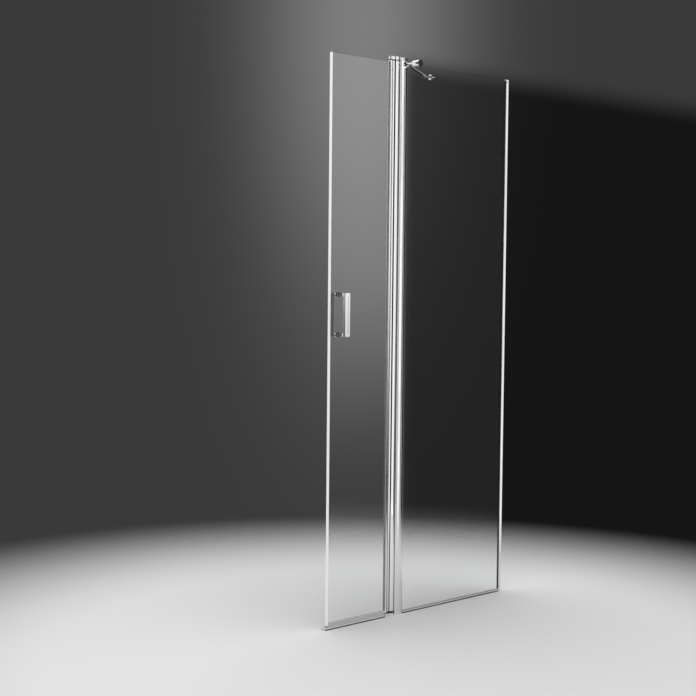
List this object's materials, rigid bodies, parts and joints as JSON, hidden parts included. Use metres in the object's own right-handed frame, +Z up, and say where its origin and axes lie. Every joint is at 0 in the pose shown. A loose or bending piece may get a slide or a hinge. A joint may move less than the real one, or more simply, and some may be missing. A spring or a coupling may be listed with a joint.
{
  "type": "walk-in shower screen",
  "caption": "Walk-in shower screen with a fixed glass pane in a wall channel, a hinged glass door in line with it on a chrome post, a pull handle and a slim wall brace.",
  "frame": {"origin": "foot of the wall channel, on the wall face, in the middle of the glass", "axes": "+X into the wall, square to it; -X along the screen; +Y to the inside of the shower; +Z up"},
  "size_m": [0.864, 0.4495, 1.9555],
  "materials": {
    "glass": "clear toughened glass with polished edges",
    "chrome_profile": "bright polished",
    "chrome_fitting": "polished chrome",
    "steel": "plain stainless steel",
    "dark_rubber": "matt, extruded",
    "white_seal": "milky soft plastic",
    "clear_seal": "clear soft plastic",
    "black_plastic": "smooth black acetal",
    "grey_plastic": "moulded, satin"
  },
  "bodies": {
    "frame": {"wall_channel": "chrome_profile", "wall_channel_cap": "chrome_fitting", "wall_gasket_outer": "dark_rubber", "wall_gasket_inner": "dark_rubber", "channel_locking_screws": "steel", "fixed_glass": "glass", "post_profile": "chrome_profile", "post_gasket_outer": "dark_rubber", "post_gasket_inner": "dark_rubber", "post_top_cap": "chrome_fitting", "top_pivot_arm": "chrome_fitting", "bottom_pivot_arm": "chrome_fitting", "top_pivot_pin": "steel", "bottom_pivot_pin": "steel", "pivot_arm_screws": "steel", "foot_channel": "chrome_profile", "foot_gasket_outer": "clear_seal", "foot_gasket_inner": "clear_seal", "foot_seal": "dark_rubber", "setting_blocks": "dark_rubber", "door_threshold": "chrome_profile", "threshold_end_cap": "grey_plastic", "post_cap_screw": "steel", "brace_clamp": "chrome_fitting", "brace_clamp_pad": "dark_rubber", "brace_clamp_screw": "steel", "brace_grub_screw": "steel", "brace_clamp_cap": "black_plastic", "clamp_yoke": "chrome_fitting", "clamp_yoke_pin": "steel"},
    "door": {"door_glass": "glass", "door_profile": "chrome_profile", "door_profile_plug": "grey_plastic", "door_gasket_outer": "clear_seal", "door_gasket_inner": "clear_seal", "top_pivot_bush": "black_plastic", "bottom_pivot_bush": "black_plastic", "edge_seal": "white_seal", "drip_seal": "clear_seal", "handle": "chrome_fitting", "handle_washers": "dark_rubber", "handle_screws": "steel", "handle_rosettes": "chrome_fitting"},
    "brace": {"brace_bar": "chrome_fitting", "brace_clamp_eye": "chrome_fitting", "brace_wall_eye": "chrome_fitting"},
    "wall_fixing": {"flange_yoke": "chrome_fitting", "flange_yoke_pin": "steel", "wall_flange": "chrome_fitting", "flange_cover": "chrome_fitting"}
  },
  "joints": [
    {"name": "door_swing", "type": "hinge", "parent": "frame", "child": "door", "pos_m": [-0.56, 0, 0], "axis": [0, 0, 1], "range_deg": [0, 100]},
    {"name": "brace_swing", "type": "hinge", "parent": "frame", "child": "brace", "pos_m": [-0.49, 0.018, 1.891], "axis": [-0.1191, 0, 0.9929], "range_deg": [-30, 50]},
    {"name": "flange_swing", "type": "hinge", "parent": "brace", "child": "wall_fixing", "pos_m": [-0.04, 0.39, 1.945], "axis": [0, -0.1437, 0.9896], "range_deg": [-45, 80]}
  ]
}
